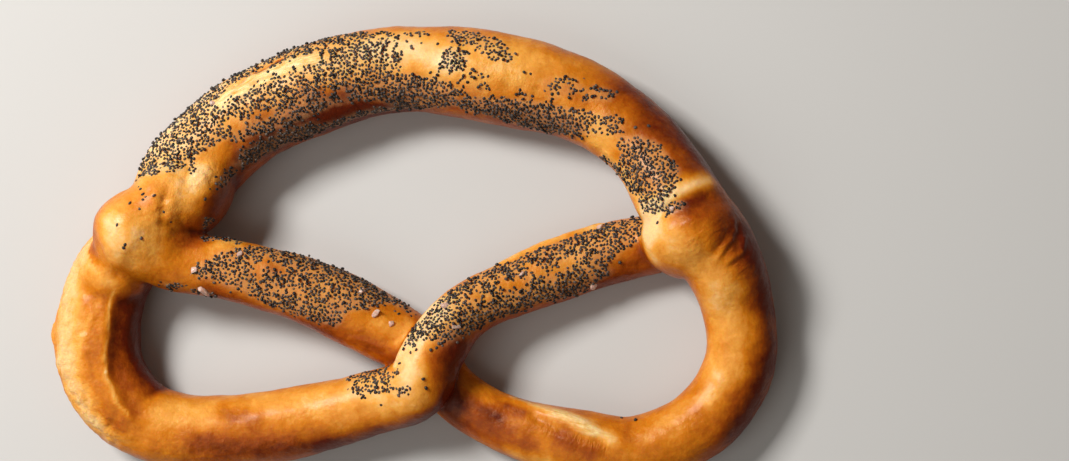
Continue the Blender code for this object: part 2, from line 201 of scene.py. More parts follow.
# How dark the crust is, from its usual golden: minus is paler, plus is browner. Most bands are the
# crust's own baked colour; some are painted shade on the strands' inner and lower sides and under the
# crossing, and some are painted light or a painted highlight
TINTS = strokes(
    ARCH,
    (-0.34, 8, (8, 52), (7.4, 64), (6, 68), (5, 72), (4.4, 80), (3.8, 72)),  # its pale top
    (-0.34, 3.5, (8.3, 26), (7.1, 28), (6.2, 26)),
    (-0.2, 5, (8.1, 72), (7.9, 108), (7.6, 128)),
    (0.16, 2.4, (7.43, 112), (7.3, 124)),
    (0.3, 2.8, (6.1, 104), (5.7, 116)),
    (-0.18, 5, (5.3, 62), (4.7, 76), (4.3, 92)),
    (0.14, 4, (4.2, 84), (3.7, 62)),
    # painted shade on the lower half of the arch's left side
    (0.12, 4, (7.2, 120), (6.4, 114), (5.4, 120), (4.6, 124)),
    (0.14, 1.6, (6.88, 100), (6.68, 104)),
    (0.8, 1, (6.94, 57), (6.74, 52)),  # brown edges of its burst seam
    (0.8, 1, (6.62, 47), (6.36, 40)),
    (0.3, 1, (6.7, 36), (6.4, 30), (6.1, 32)),
    # these two: painted shade along the arch's inner side, which faces down into the hole
    (0.24, 4, (6.35, 128), (6, 140), (5.6, 152)),
    (0.6, 3.6, (7.4, 138), (6.9, 144), (6, 154), (5, 164)),
    (-0.06, 5, (3.7, 52), (3.2, 64)),
    (-0.14, 3, (3.6, 96), (3.05, 104), (2.6, 108)),
    # these two: painted shade on the arch's inner side, in its middle and above the shoulder
    (0.26, 3.2, (4.3, 138), (3.6, 142), (3.1, 142), (2.7, 128)),
    (0.16, 3, (1.9, 124), (1.5, 114), (1.2, 116)),
    (-0.28, 5, (2.5, 120), (2.2, 136), (1.6, 152), (1.3, 140)),
    # these two: painted shade on the arch's outer side at its right end
    (0.36, 6, (2.4, 34), (1.9, 50), (1.4, 40)),
    (0.4, 4, (1.9, 4), (1.1, 10)),
    (-0.1, 4, (3.85, 72), (3.45, 56), (3.12, 72)),
    (0.16, 2.2, (3.05, 92), (2.75, 96)),
) + strokes(
    RIGHT_LOOP,
    (-0.3, 5, (5.88, 116), (5.43, 120), (4.55, 132), (3.88, 128)),
    (-0.2, 5, (5.45, 88), (4.72, 88), (4.12, 92)),
    # painted shade on the right loop's outer side
    (0.34, 6, (5.8, 36), (4.5, 36), (3.4, 40)),
    (-0.3, 3.5, (3.4, 108), (3.7, 104)),
    (-0.12, 4, (3.2, 132), (2.3, 120)),
    # painted shadow of the crossing strand
    (0.22, 1.6, (0.03, 130), (0.28, 124)),
    (-0.26, 3, (0.4, 32), (0.83, 44)),
    (-0.34, 2.4, (0.58, 150), (1.07, 132), (1.7, 110)),
    (0.2, 2.4, (1, 92), (1.43, 80)),
) + strokes(
    LEFT_ARM,
    # these four: painted shadow where the bend lies over the left arm's end
    (0.24, 4, (6.4, 44), (6.8, 52), (7.45, 70)),
    (0.2, 2, (6.6, 104), (6.92, 96)),
    (0.2, 4, (6.5, 84), (7, 96)),
    (0.4, 3.5, (6.1, 60), (6.2, 90)),
    (-0.02, 6, (2, 108), (2.7, 96), (3.6, 100)),
    (-0.28, 3.2, (1.7, 136), (2, 156)),
    (0.12, 1.6, (2.6, 112), (2.8, 108)),
    (0.22, 3, (1.7, 36), (2.8, 20), (3.8, 30)),
    (0.16, 3, (4.4, 40), (5, 50)),
    (0.14, 2.6, (4, 44), (4.4, 52)),
    (-0.16, 3, (3.9, 80), (4.22, 90), (4.53, 104)),
    (-0.34, 1.8, (4.62, 124), (4.72, 100), (4.7, 76)),
) + strokes(
    RIGHT_ARM,
    (-0.08, 6, (1.8, 104), (2.6, 92), (3.5, 92)),
    (-0.04, 4, (3.6, 104), (4.5, 128)),
    # painted shade on the right arm's lower side
    (0.2, 4.5, (3.9, 20), (4.4, 44), (4.8, 68)),
    # pale on the bend, partly the crust's own colour and partly a painted highlight
    (-0.46, 4.5, (0.4, 112), (0.85, 120), (1.65, 116)),
    (-0.4, 2.4, (0.3, 150), (1, 156), (1.7, 150)),
    (0.18, 3.5, (0.55, 58), (1.07, 70)),
    # painted shadow under the bend
    (0.45, 4.5, (1.27, 40), (0.7, 14), (0.2, 14)),
    (-0.3, 2, (2.7, 166), (4.1, 168)),
) + strokes(
    LEFT_LOOP,
    (-0.2, 4, (6, 130), (6.7, 120)),
    (-0.42, 7, (-0.4, 36), (0.6, 46), (1.4, 52), (2.5, 46)),  # its pale outside, partly the crust's own colour and partly painted light on the side that faces the light
    (0.06, 2.8, (0.4, 96), (1.3, 94), (2.1, 86)),
    (0.16, 4, (2.4, 84), (2.9, 100)),
    (-0.16, 1.4, (0.5, 98), (0.9, 92), (1.3, 84)),
    (-0.34, 0.6, (0.2, 117), (1.2, 116), (2, 109)),
    (-0.32, 0.6, (2, 109), (2.45, 101), (2.9, 89)),
    # these three: painted shade on the inner wall and in the corner at its bottom
    (0.2, 5, (0.3, 142), (1.4, 142), (2.5, 136)),
    (0.4, 5.5, (0.2, 176), (1.6, 176), (2.9, 164)),
    (0.14, 2.5, (2.98, 136), (3.12, 166)),
    (-0.26, 6, (3.3, 112), (4, 128)),
    (-0.24, 6, (4.6, 140), (5.15, 120), (5.7, 108)),
    (-0.26, 4.5, (6.2, 88), (6.8, 76), (7.05, 52)),
    # these two: painted shade on the lower edge of the bottom strand
    (0.28, 4, (3.9, 70), (4.6, 60), (5.3, 36)),
    (0.24, 3.5, (5.3, 24), (6, 20), (6.7, 12)),
    (0.18, 2.6, (4.1, 132), (4.4, 112), (4.6, 96)),
    (0.22, 2.4, (2.5, 70), (2.8, 70)),
)
TINTS_FROM_ABOVE = from_above(
    (-0.2, 7, (-80.7, 7.2), (-77.3, 4.3), (-71.8, 4.1)),  # the rope's left end and what lies next to it
    (0.22, 2.4, (-86.6, 12), (-87.6, 7), (-86.4, 1.5)),
    (-0.14, 4, (-78.5, 14.5), (-74.5, 20)),
    (-0.06, 5, (-72.2, 15.3), (-69.8, 8.6)),
    # these three: painted light low on the rope's left end, a painted highlight on its top, and painted
    # light where it meets the left arm
    (-0.22, 4.5, (-79.5, 0), (-76.5, -2)),
    (-0.2, 2.2, (-80.8, 8.2), (-79.6, 7.2)),
    (-0.16, 5, (-70, 3), (-64, 2)),
    (-0.26, 3, (-85, -5), (-81.4, -7.8), (-75, -10.2)),
    (0.3, 2.6, (-61.4, 3.4), (-58.2, 3.6), (-55.5, 4)),
    (0.3, 0.9, (-81, -5.6), (-80.6, -6.6)),
    (-0.32, 4.5, (-62.7, 10.5), (-60, 17), (-57.5, 21)),  # the knuckle
    (0.16, 1.3, (-64.6, 18), (-65.8, 13), (-66.6, 7.6)),
    (0.3, 0.8, (-62.2, 8.8), (-60.9, 6.7), (-59.2, 6.1)),
    (-0.36, 2.4, (-48.8, 27.2), (-45.4, 29.6)),
    (0.1, 2.8, (-51, 25.5), (-48.5, 29)),
    (0.3, 2.8, (-54, 9.5), (-51.5, 14.4), (-48.5, 19.6)),
    (-0.5, 2.7, (69.4, 10), (74.1, 13.6), (80.6, 16.8), (84.7, 18.7)),  # the shoulder
    (-0.6, 3.4, (69.2, 8.8), (68.8, 5.4)),
    (-0.3, 1.5, (67.8, 3.8), (68.6, -0.8), (70, -3.5)),
    (0.3, 4.5, (80.5, 10.5), (86.5, 12), (91.7, 6.2), (95.3, -0.6)),
    (-0.26, 4, (74.5, 3), (75.5, -1.5), (82.5, -3.5)),
    (0.26, 1.6, (77.4, 11.8), (80.5, 12.9), (83.5, 14.4)),
    (0.14, 0.8, (87.1, -0.8), (89.1, 2), (90.2, 4.2)),
    (-0.34, 0.7, (87.4, -2.7), (89.1, 0), (91.3, 2.5)),
    (0.14, 0.8, (89.4, -1.6), (91.3, 1.1), (92.1, 3.4)),
    (-0.34, 0.7, (89.9, -4.1), (91.3, -2.8), (93.8, -1.1)),
    (0.02, 3.2, (90.5, -9), (92, -15)),  # the right loop
    # painted shade, to dim the light on the right loop's inner side here
    (0.16, 3.4, (86, -21), (87, -28)),
    (-0.1, 3, (98.6, -20), (99.6, -27)),
    (-0.14, 3, (-42.5, -14.5), (-38.5, -16)),  # the left arm, with painted light on its lower side
    (0.14, 3, (-22, -19.5), (-12, -20.5)),
)

# Pale crumb that burst through the crust
BLOOMS = strokes(
    RIGHT_LOOP,
    (0.5, 1, (0.05, 158), (0.4, 150), (0.7, 140)),
    (0.9, 1.9, (0.85, 136), (1.15, 128), (1.4, 118)),
    (0.5, 0.9, (1.4, 118), (1.75, 108)),
) + strokes(
    ARCH,
    (1.2, 2.1, (7.2, 63), (6.8, 63)),
    (1.2, 2.2, (6.7, 60), (6.3, 58), (5.95, 61)),
)

# Where the egg wash lay thickest and the crust shines most
GLAZED = from_above(
    (1, 5, (-82, 9), (-78.5, 6)),
)

# Where the skin is blistered, and where it is finely wrinkled
BLISTERED = strokes(
    LEFT_LOOP,
    (1, 7, (-0.2, 40), (1.2, 44), (2.6, 46)),
    (0.4, 2.2, (0.4, 96), (1.4, 84)),
    (0.4, 4, (3.4, 70), (5, 56)),
) + strokes(
    ARCH,
    (0.5, 3, (7.95, 100), (7.75, 124)),
    (0.5, 3.5, (4, 90), (3.4, 100)),
    (0.6, 3, (2.4, 144), (1.8, 156)),
)
BLISTERED_FROM_ABOVE = from_above(
    (0.5, 4, (-67, 19), (-65.5, 10)),
    (0.3, 6, (-60, 12), (-56, 22)),
)
WRINKLED = strokes(
    ARCH,
    (0.8, 4, (-0.2, 66), (0.4, 78)),
    (0.5, 3, (0.5, 104), (0.7, 100)),
) + strokes(
    RIGHT_LOOP,
    (1, 2, (0.5, 114), (1.2, 98), (1.6, 90)),
    (0.2, 3, (5.2, 132), (5.7, 124)),
) + strokes(
    LEFT_ARM,
    (0.4, 2.2, (3.9, 48), (4.5, 64)),
)

# Where the poppy seeds lie, and how thickly: 1.5 is a closed layer and 0.5 is scattered
SEEDED_PATCHES = patches(
    ARCH,
    # left of its middle: the outer edge, and back along the inner one
    (0.95, (8.45, 60), (8.3, 36), (8, 16), (7.1, 12), (6.1, 12), (5.4, 24), (5.25, 60),
     (5.15, 104), (5.07, 156), (5.27, 144), (5.6, 128), (6.02, 128), (6.52, 134), (6.82, 128),
     (7.2, 116), (7.45, 100), (7.93, 96), (8.1, 84), (8.35, 76)),
    # low on its inner side
    (1.6, (4.27, 132), (4.02, 124), (3.77, 120), (3.4, 116), (3.05, 112), (2.68, 100), (2.53, 128),
     (2.72, 144), (3.2, 168), (3.57, 160), (3.88, 150), (4.23, 146)),
    # above the shoulder
    (1.25, (2.15, 108), (1.95, 84), (1.68, 72), (1.32, 68), (1.15, 84), (1.12, 104), (1.05, 128),
     (1.12, 144), (1.3, 144), (1.57, 148), (1.95, 156), (1.95, 124)),
    # between the first two
    (1.6, (5.15, 104), (4.73, 106), (4.4, 108), (4.25, 120), (4.27, 142), (4.77, 162),
     (5.15, 162)),
    (0.45, (5.5, 30), (4.8, 40), (4.85, 70), (5.1, 108)),  # where the first one thins out
    (1.5, (4.5, 66), (4.2, 68), (4.2, 92), (4.48, 98)),  # groups on top of it
    (0.9, (4.52, 34), (4.25, 32), (3.9, 40), (3.73, 60), (3.75, 72), (3.9, 72), (4.2, 60),
     (4.45, 56)),
    (0.3, (4.3, 92), (3.95, 86), (3.9, 118), (4.25, 124)),
    (0.6, (3.4, 84), (3, 64), (2.8, 76), (3.2, 110)),
    (0.7, (2.8, 64), (2.5, 54), (2.5, 72), (2.8, 90)),
    (0.7, (2.7, 100), (2.3, 84), (2.1, 104), (2.5, 126)),
) + patches(
    LEFT_ARM,
    (1, (1.82, 122), (2.12, 146), (2.45, 168), (3.2, 170), (3.92, 172), (4.5, 164), (4.5, 152),
     (4.17, 136), (4, 108), (3.77, 92), (3.7, 56), (3.42, 48), (2.73, 40), (2.45, 52), (2.08, 64),
     (1.52, 62), (1.52, 84)),
) + patches(
    RIGHT_ARM,
    (1.05, (0.78, 140), (0.95, 156), (1.3, 154), (1.62, 146), (2.17, 150), (2.58, 158),
     (3.05, 142), (3.45, 140), (3.92, 150), (4.42, 160), (4.8, 160), (4.8, 104), (4.55, 92),
     (4.3, 68), (4.1, 44), (3.83, 34), (3.55, 20), (3.05, 32), (2.62, 40), (2.23, 40), (1.6, 52),
     (1.27, 80), (1.02, 114)),
) + patches(
    LEFT_LOOP,
    (0.8, (5.8, 164), (6.15, 160), (6.7, 148), (7.1, 132), (6.82, 112), (7.15, 84), (7, 80),
     (6.57, 100), (6.27, 100), (6, 104), (5.82, 120)),
)
SEEDED_LINES = strokes(
    ARCH,
    (1.3, 4.5, (6.9, 96), (6.2, 96), (5.2, 88)),  # left of its middle
    (1.3, 3.4, (6, 72), (5.2, 64)),
    (1.3, 3, (8.2, 44), (8, 60)),
    (1.9, 2.6, (7.35, 140), (7.05, 146), (6.6, 148), (6.3, 154)),
    (1.5, 1.3, (6.3, 156), (5.85, 156), (5.1, 160)),
    (1.2, 1.3, (7.75, 132), (7.57, 146)),
    (1.1, 1.1, (7.88, 92), (7.88, 102)),
    (0.9, 0.9, (5, 46), (4.75, 44)),  # its middle
    (0.7, 1.2, (3.55, 104), (3.48, 112)),
    (1.3, 1.3, (2.2, 160), (1.85, 158), (1.5, 148)),  # above the shoulder
    (1.5, 1.8, (1.7, 132), (1.3, 124), (1.12, 130)),
    (1.3, 1.1, (1, 112), (0.97, 92)),
) + strokes(
    LEFT_ARM,
    (1.5, 1.2, (1.5, 158), (2, 168)),
    (0.9, 1.2, (1, 32), (1.23, 36)),
    (1.3, 1.3, (1.48, 28), (1.73, 24)),
    (1.4, 1.6, (1.6, 80), (2.05, 72), (2.45, 60)),
    (1.4, 1.6, (2.45, 60), (2.7, 50), (3.4, 54)),
    (1.3, 1.8, (2.9, 160), (3.7, 158), (4.5, 158)),
) + strokes(
    RIGHT_ARM,
    (1.6, 1.9, (1.3, 84), (1.7, 56), (2.3, 44)),
    (1.6, 1.9, (2.3, 44), (3.1, 46), (3.6, 26)),
    (1.3, 2, (3, 132), (3.9, 134), (4.7, 138)),
) + strokes(
    LEFT_LOOP,
    (1.3, 1.4, (5.9, 158), (6.6, 150)),
)
# Stretches inside the seeded ones that stayed bare
BARE = strokes(
    ARCH,
    (1, 2.2, (7.2, 62), (6.9, 60), (6.1, 58), (5.93, 62)),
    (1, 1.2, (6.94, 57), (6.74, 52)),
    (1, 1.2, (6.62, 47), (6.36, 40)),
    (0.9, 2, (5.95, 104), (5.75, 118)),
    (0.9, 1.5, (6.88, 100), (6.68, 104)),
    (0.9, 1.7, (7.2, 88), (7.12, 100)),
    (0.9, 1.8, (7.48, 108), (7.4, 132)),
    (1, 1.6, (2.3, 146), (2, 142)),
) + strokes(
    LEFT_ARM,
    (0.9, 1.6, (2.5, 124), (2.75, 114)),
    (0.8, 1.2, (2.38, 112), (2.48, 84)),
) + strokes(
    RIGHT_ARM,
    (1, 2.2, (2.62, 100), (2.83, 88)),
    (1, 1.6, (3.02, 116), (3.15, 92)),
    (0.9, 1.8, (3.35, 88), (3.58, 92)),
    (0.9, 1.2, (2.2, 104), (2.33, 84)),
    (1, 2.6, (4.2, 62), (4.55, 76)),
)
# Seeds that lie alone, as places on the rope and as points seen from above
STRAYS = [
    (LEFT_ARM + 4.4, 132), (LEFT_ARM + 4.47, 130), (RIGHT_ARM + 0.8, 120), (RIGHT_ARM + 0.88, 112),
    (RIGHT_ARM + 1.0, 88), (RIGHT_ARM + 0.4, 80), (RIGHT_ARM + 0.27, 68), (RIGHT_ARM + 0.52, 136),
    (RIGHT_ARM + 0.18, 128), (LEFT_LOOP + 6.43, 80), (RIGHT_LOOP + 1.82, 164),
    (RIGHT_LOOP + 2.12, 148), (ARCH + 2.07, 80), (ARCH + 1.97, 64), (ARCH + 2.93, 60),
    (ARCH + 4.6, 100), (ARCH + 4.57, 60), (ARCH + 4.75, 60), (ARCH + 6.5, 66), (ARCH + 2.65, 100),
    (ARCH + 3.57, 80), (ARCH + 3.5, 80), (RIGHT_ARM + 4.2, 76), (RIGHT_ARM + 4.3, 64),
]
STRAYS_FROM_ABOVE = [
    (-78.2, 7.3), (-71.7, 3.7), (-76.0, 1.8), (-76.5, 1.0), (-65.8, 11.0), (-64.3, 8.3),
    (-75.2, 13.5), (-72.2, 11.8), (-73.6, 18.2), (-72.6, 17.5), (-71.7, 16.0), (-71.4, 14.4),
    (-70.8, 15.2), (-54.9, 14.7), (-53.6, 17.6), (-68.2, 15.5),
]

# The grains of coarse salt: the station and angle, and the length against the usual one
SALTED = [
    (LEFT_ARM + 1.45, 80, 1.0), (LEFT_ARM + 1.65, 32, 1.7), (LEFT_ARM + 2.12, 128, 1.0),
    (LEFT_ARM + 3.8, 134, 1.0), (LEFT_ARM + 4.15, 108, 1.2), (RIGHT_ARM + 1.6, 72, 1.1),
    (RIGHT_ARM + 1.77, 120, 1.2), (RIGHT_ARM + 3.77, 26, 0.9), (RIGHT_ARM + 4.12, 150, 1.0),
    (LEFT_ARM + 4.45, 106, 0.6), (RIGHT_ARM + 2.9, 104, 0.7), (ARCH + 0.97, 104, 0.8),
    (ARCH + 7.22, 56, 0.7),
]

# Where strands run into each other without a crease
BLENDED = from_above(
    (1, 6, (-82, 19), (-73, 14), (-68, 8), (-64, 1)),  # end and arch
    (0.9, 4, (-69, 24), (-66.5, 17), (-65.5, 9)),
    (0.7, 5, (-60, 10), (-56, 18), (-51, 27)),  # knuckle and arch
    (0.7, 3.2, (-87, 5), (-84, -1), (-80.5, -5.8), (-74, -9.5)),  # end and loop
    (0.9, 5, (77, -8), (83, -6.5), (89, -3), (93, 3)),  # shoulder and loop
)

# How finely the skin is made
CURVE_STEPS = 40  # between two stations, where the rope's length is measured
TANGENT_STEP = 0.02
RING_STEP = 0.7
RING_POINTS = 96
CAP_RINGS = 16
SWELLING_FINENESS = 6
SKIN_VOXEL = 0.76
PROJECTIONS = 3
SKIN_SMOOTHING = 3
BLENDED_SMOOTHING = 160
HOLLOW_SMOOTHING = 40  # how smooth the copy is that shows where the skin is hollow
BAKE_BLUR = 60
TOP_FADE = 2.5  # strokes seen from above fade where the skin's normal rises less than 1 in 2.5

# Unevenness of the finished skin
DIMPLE_HEIGHT, DIMPLE_LENGTH = 0.22, 7.0
BLISTER_HEIGHT, BLISTER_LENGTH = 0.65, 2.6

# The crust's tone before the tints, from 0, pale cream, to 1, deep brown: its baked colour, with
# painted shade on the strands' sides and on the side away from the light, and painted light on the side
# towards it
USUAL_BAKE = 0.50
# Painted shade: browner towards each strand's sides
SIDE_SHADE, SIDE_POWER = 0.08, 1.5
FOOT_BAKE, FOOT_HEIGHT = 0.10, 4.0
SHADED_SIDE = np.array((0.76, -0.56, -0.33))  # the side that faces away from the light, which painted shade browns; painted light makes the side facing the light paler
PAINTED_SHADE, PAINTED_LIGHT = 0.24, 0.06

# Noise gives bands uneven edges: its length, and how far it moves them along the rope and round it
BAKE_WARP = (6.0, 2.0, 1.4)
FOLD_WARP = (4.0, 0.8, 0.8)
BLOOM_WARP = (3.0, 0.5, 0.5)
SEED_WARP = (2.5, 0.8, 0.8)
ALONG_SHIFT, AROUND_SHIFT, CLUMP_SHIFT = 50, 90, 10  # so that no two uses of the noise look alike

# Poppy seeds
SEED_SIZE = np.array((1.14, 0.95, 0.82))
SEED_BEND, SEED_MIDDLE = 0.44, 0.05  # how far the kidney bends, and what centres it again
SEED_RINGS, SEED_SIDES = 4, 5
SEED_SPACING = 0.75
SEED_TRIES = 70000
SEED_DRAW = 11
SEED_TILT = 0.3
SIZE_SPREAD, SIZE_LIMITS = 0.09, (0.78, 1.2)
SEED_SINK, SEED_LIFTS = 0.10, (-0.16, 0.12)
PILED_SHARE, PILED_LIFT = 0.12, 0.45  # seeds that lie on others
SEEDED_FROM = 0.06  # no seed lies where the density is less
CHANCE_GAIN, CHANCE_LOSS = 1.25, 0.10  # what the density counts for, and what is taken off
SCATTERED_BELOW = 0.15  # the chance falls further where the density is less
PATCH_FADE = 1.4
CLUMP_LENGTH = 2.0

# Salt
SALT_SIZE = np.array((2.3, 1.8, 1.5))
SALT_CORNERS = 18
SALT_CORE = 0.8  # corners outside this share of the block move out onto its faces
SALT_BEVEL, SALT_BEVEL_STEPS = 0.10, 2
SALT_TILT = 0.1
SALT_EDGE = 35  # edges sharper than this look sharp
ABOVE = 0.1  # metres: high over the pretzel


# ---- the rope ----


def rope_at(numbers):
    """Middles, half widths and half heights of the rope at an array of station numbers."""
    index = np.clip(np.floor(numbers).astype(int), 0, LAST - 1)
    before, start, end, after = (
        STATIONS[np.clip(index + step, 0, LAST)] for step in (-1, 0, 1, 2)
    )
    share = (numbers - index)[:, None]
    curve = 0.5 * (
        2 * start
        + (end - before) * share
        + (2 * before - 5 * start + 4 * end - after) * share**2
        + (3 * start - before - 3 * end + after) * share**3
    )
    x, y, half_width, lift = curve.T
    half_height = ROUNDNESS * half_width
    middle = np.stack([x, y, lift + half_height - TRAY_FLAT], axis=1)
    return middle, half_width, half_height


def unit(vectors):
    return vectors / np.linalg.norm(vectors, axis=-1, keepdims=True)


def frames_at(numbers):
    """The rope's direction, its sideways direction (outwards on the loops) and its upward one."""
    ahead = unit(rope_at(numbers + TANGENT_STEP)[0] - rope_at(numbers - TANGENT_STEP)[0])
    side = unit(np.cross(ahead, (0.0, 0.0, 1.0)))
    return ahead, side, np.cross(side, ahead)


FINE_NUMBERS = np.linspace(0, LAST, LAST * CURVE_STEPS + 1)
FINE_STEPS = np.linalg.norm(np.diff(rope_at(FINE_NUMBERS)[0], axis=0), axis=1)
FINE_LENGTHS = np.concatenate([[0.0], np.cumsum(FINE_STEPS)])
STATION_SPACING = FINE_LENGTHS[-1] / LAST


def length_at(numbers):
    """How far along the rope a station number is. Past the ends it goes on at the usual spacing."""
    numbers = np.asarray(numbers, float)
    beyond = numbers - np.clip(numbers, 0, LAST)
    return np.interp(numbers, FINE_NUMBERS, FINE_LENGTHS) + beyond * STATION_SPACING


def noise_at(points, length, octaves=1):
    """Smooth noise from about -1 to 1 at points in millimetres, with bumps of this length."""
    flat = (points.reshape(-1, 3) / length).tolist()
    if octaves == 1:
        values = [noise.noise(point) for point in flat]
    else:
        values = [noise.fractal(point, 1.0, 2.0, octaves) for point in flat]
    return np.array(values).reshape(points.shape[:-1])


def relief_at(numbers, angles, half_widths):
    """How far the folds, seams and grooves stand out of the strand, for rings of angles."""
    rise = np.zeros((len(numbers), len(angles)))
    for relief in RELIEFS:
        stations, route_angles = zip(*relief.route)
        share = np.clip((numbers - stations[0]) / (stations[-1] - stations[0]), 0, 1)
        fade = np.sqrt(np.clip(np.sin(np.pi * share), 0, None))
        beside = angles[None] - np.interp(numbers, stations, route_angles)[:, None]
        away = np.radians(beside) * half_widths[:, None] / relief.half_width
        away = np.where(away > 0, away / relief.inner_share, away)
        rise += relief.rise * fade[:, None] * np.exp(-(away**2))
    return rise


def skin_points(numbers, angles):
    """Rings of points on the strand's skin."""
    middle, half_width, half_height = rope_at(numbers)
    _, side, up = frames_at(numbers)
    turn = np.radians(angles)[None, :, None]
    out = np.cos(turn) * (side * half_width[:, None])[:, None]
    out = out + np.sin(turn) * (up * half_height[:, None])[:, None]
    points = middle[:, None] + out
    rise = LUMP_HEIGHT * noise_at(points, LUMP_LENGTH) + relief_at(numbers, angles, half_width)
    return points + unit(out) * rise[..., None]


def cap_rings(number, ring, outwards):
    """Rings that close the rope's end to a round cap, from the last full ring outwards."""
    middle, half_width, _ = (value[0] for value in rope_at(np.array([float(number)])))
    turns = np.pi / 2 * np.arange(1, CAP_RINGS) / CAP_RINGS
    return np.stack(
        [middle + (ring - middle) * math.cos(t) + outwards * half_width * math.sin(t) for t in turns]
    )


def rope_rings():
    """Rings of points along the whole rope, with the station number of each."""
    pieces = round(FINE_LENGTHS[-1] / RING_STEP)
    lengths = np.linspace(0, FINE_LENGTHS[-1], pieces + 1)
    numbers = np.interp(lengths, FINE_LENGTHS, FINE_NUMBERS)
    angles = np.arange(RING_POINTS) * 360.0 / RING_POINTS
    rings = skin_points(numbers, angles)
    ends = frames_at(np.array([0.0, float(LAST)]))[0]
    start = cap_rings(0, rings[0], -ends[0])
    end = cap_rings(LAST, rings[-1], ends[1])
    full = np.concatenate([start[::-1], rings, end])
    numbers = np.concatenate([np.zeros(len(start)), numbers, np.full(len(end), float(LAST))])
    return full, numbers


def add_swellings(bm):
    for swelling in SWELLINGS:
        middle = Matrix.Translation(Vector(swelling[:3]) * MM)
        turn = Matrix.Rotation(math.radians(swelling.turn), 4, "Z")
        half_sizes = Vector((swelling.half_length, swelling.half_width, swelling.half_height))
        shape = middle @ turn @ Matrix.Diagonal(half_sizes * MM).to_4x4()
        bmesh.ops.create_icosphere(bm, subdivisions=SWELLING_FINENESS, radius=1.0, matrix=shape)


def rope_mesh(rings):
    """The rope and its swellings as closed shapes that still pass through each other."""
    count, sides = rings.shape[:2]
    ring, point = np.meshgrid(np.arange(count - 1), np.arange(sides), indexing="ij")
    here, beside = ring * sides + point, ring * sides + (point + 1) % sides
    faces = np.stack([here, beside, beside + sides, here + sides], axis=-1).reshape(-1, 4).tolist()
    faces.append(list(range(sides))[::-1])
    faces.append([(count - 1) * sides + i for i in range(sides)])
    mesh = bpy.data.meshes.new("pretzel_dough")
    mesh.from_pydata((rings.reshape(-1, 3) * MM).tolist(), [], faces)
    bm = bmesh.new()
    bm.from_mesh(mesh)
    add_swellings(bm)
    bmesh.ops.recalc_face_normals(bm, faces=bm.faces)
    bm.to_mesh(mesh)
    bm.free()
    return mesh


# ---- strokes and patches ----

# Where points of the fused skin are on the rope: how far along it, at what angle, and its radius
Places = namedtuple("Places", "along angle radius")
LEAST_SQUARE = 1e-9  # stands for the squared length of a line that is a single point


def away_from_line(u, v, start, end):
    """How far points are from the straight line between two others."""
    run_u, run_v = end[0] - start[0], end[1] - start[1]
    way = (u - start[0]) * run_u + (v - start[1]) * run_v
    share = np.clip(way / np.maximum(run_u**2 + run_v**2, LEAST_SQUARE), 0, 1)
    return np.hypot(u - start[0] - run_u * share, v - start[1] - run_v * share)


def route_mask(u, v, route, half_width):
    """1 on the lines through the route's points, fading over the half width."""
    lines = zip(route, route[1:] or route)
    nearest = np.min([away_from_line(u, v, start, end) for start, end in lines], axis=0)
    return np.exp(-((nearest / half_width) ** 2))


def rolled_out(places, route):
    """The places and the route's points on the strand's skin, rolled out flat."""
    around = np.radians(places.angle) * places.radius
    points = [(length_at(number), np.radians(angle) * places.radius) for number, angle in route]
    return places.along, around, points


def rope_mask(stroke, places):
    """The mask of a stroke whose route has places on the rope."""
    return route_mask(*rolled_out(places, stroke.route), stroke.half_width)


def painted(bands, places):
    """The amounts of strokes on the rope, added up."""
    return sum(band.amount * rope_mask(band, places) for band in bands)


def painted_from_above(bands, points, normals):
    """The amounts of strokes seen from above, added up, on the skin that faces up."""
    x, y = points[:, 0], points[:, 1]
    total = sum(band.amount * route_mask(x, y, band.route, band.half_width) for band in bands)
    return total * np.clip(normals[:, 2] * TOP_FADE, 0, 1)


def patch_mask(patch, places):
    """1 inside the patch's outline, fading at its edge."""
    u, v, corners = rolled_out(places, patch.outline)
    inside = np.zeros(u.shape, bool)
    nearest = np.full(u.shape, np.inf)
    for start, end in zip(corners, corners[1:] + corners[:1]):
        crossed = (start[1] > v) != (end[1] > v)
        run_v = np.where(crossed, end[1] - start[1], 1.0)
        inside ^= crossed & (u < start[0] + (end[0] - start[0]) * (v - start[1]) / run_v)
        nearest = np.minimum(nearest, away_from_line(u, v, start, end))
    return np.clip(0.5 + np.where(inside, nearest, -nearest) / PATCH_FADE, 0, 1)


def warped(places, points, warp):
    """The same places, moved about by noise, so that bands on them get uneven edges."""
    length, most_along, most_around = warp
    along_it = places.along + most_along * noise_at(points + ALONG_SHIFT, length, octaves=2)
    around = most_around * noise_at(points + AROUND_SHIFT, length, octaves=2)
    return Places(along_it, places.angle + np.degrees(around / places.radius), places.radius)


# ---- the dough ----


def add_object(name, data, material=None):
    """A new object of the scene, which is a mesh, a light or the camera."""
    obj = bpy.data.objects.new(name, data)
    bpy.context.scene.collection.objects.link(obj)
    if material:
        data.materials.append(material)
    return obj


def add_smoothing(obj, name, iterations):
    smooth = obj.modifiers.new(name, "SMOOTH")
    smooth.factor = 0.5
    smooth.iterations = iterations


def evaluated_mesh(obj):
    """A new mesh of what the object's modifiers make."""
    graph = bpy.context.evaluated_depsgraph_get()
    return bpy.data.meshes.new_from_object(obj.evaluated_get(graph))


def vertex_array(mesh, field):
    values = np.empty(len(mesh.vertices) * 3)
    mesh.vertices.foreach_get(field, values)
    return values.reshape(-1, 3)


def points_and_normals(mesh):
    return vertex_array(mesh, "co") / MM, vertex_array(mesh, "normal")


def set_vertices(mesh, points):
    mesh.vertices.foreach_set("co", (points * MM).ravel())
    mesh.update()


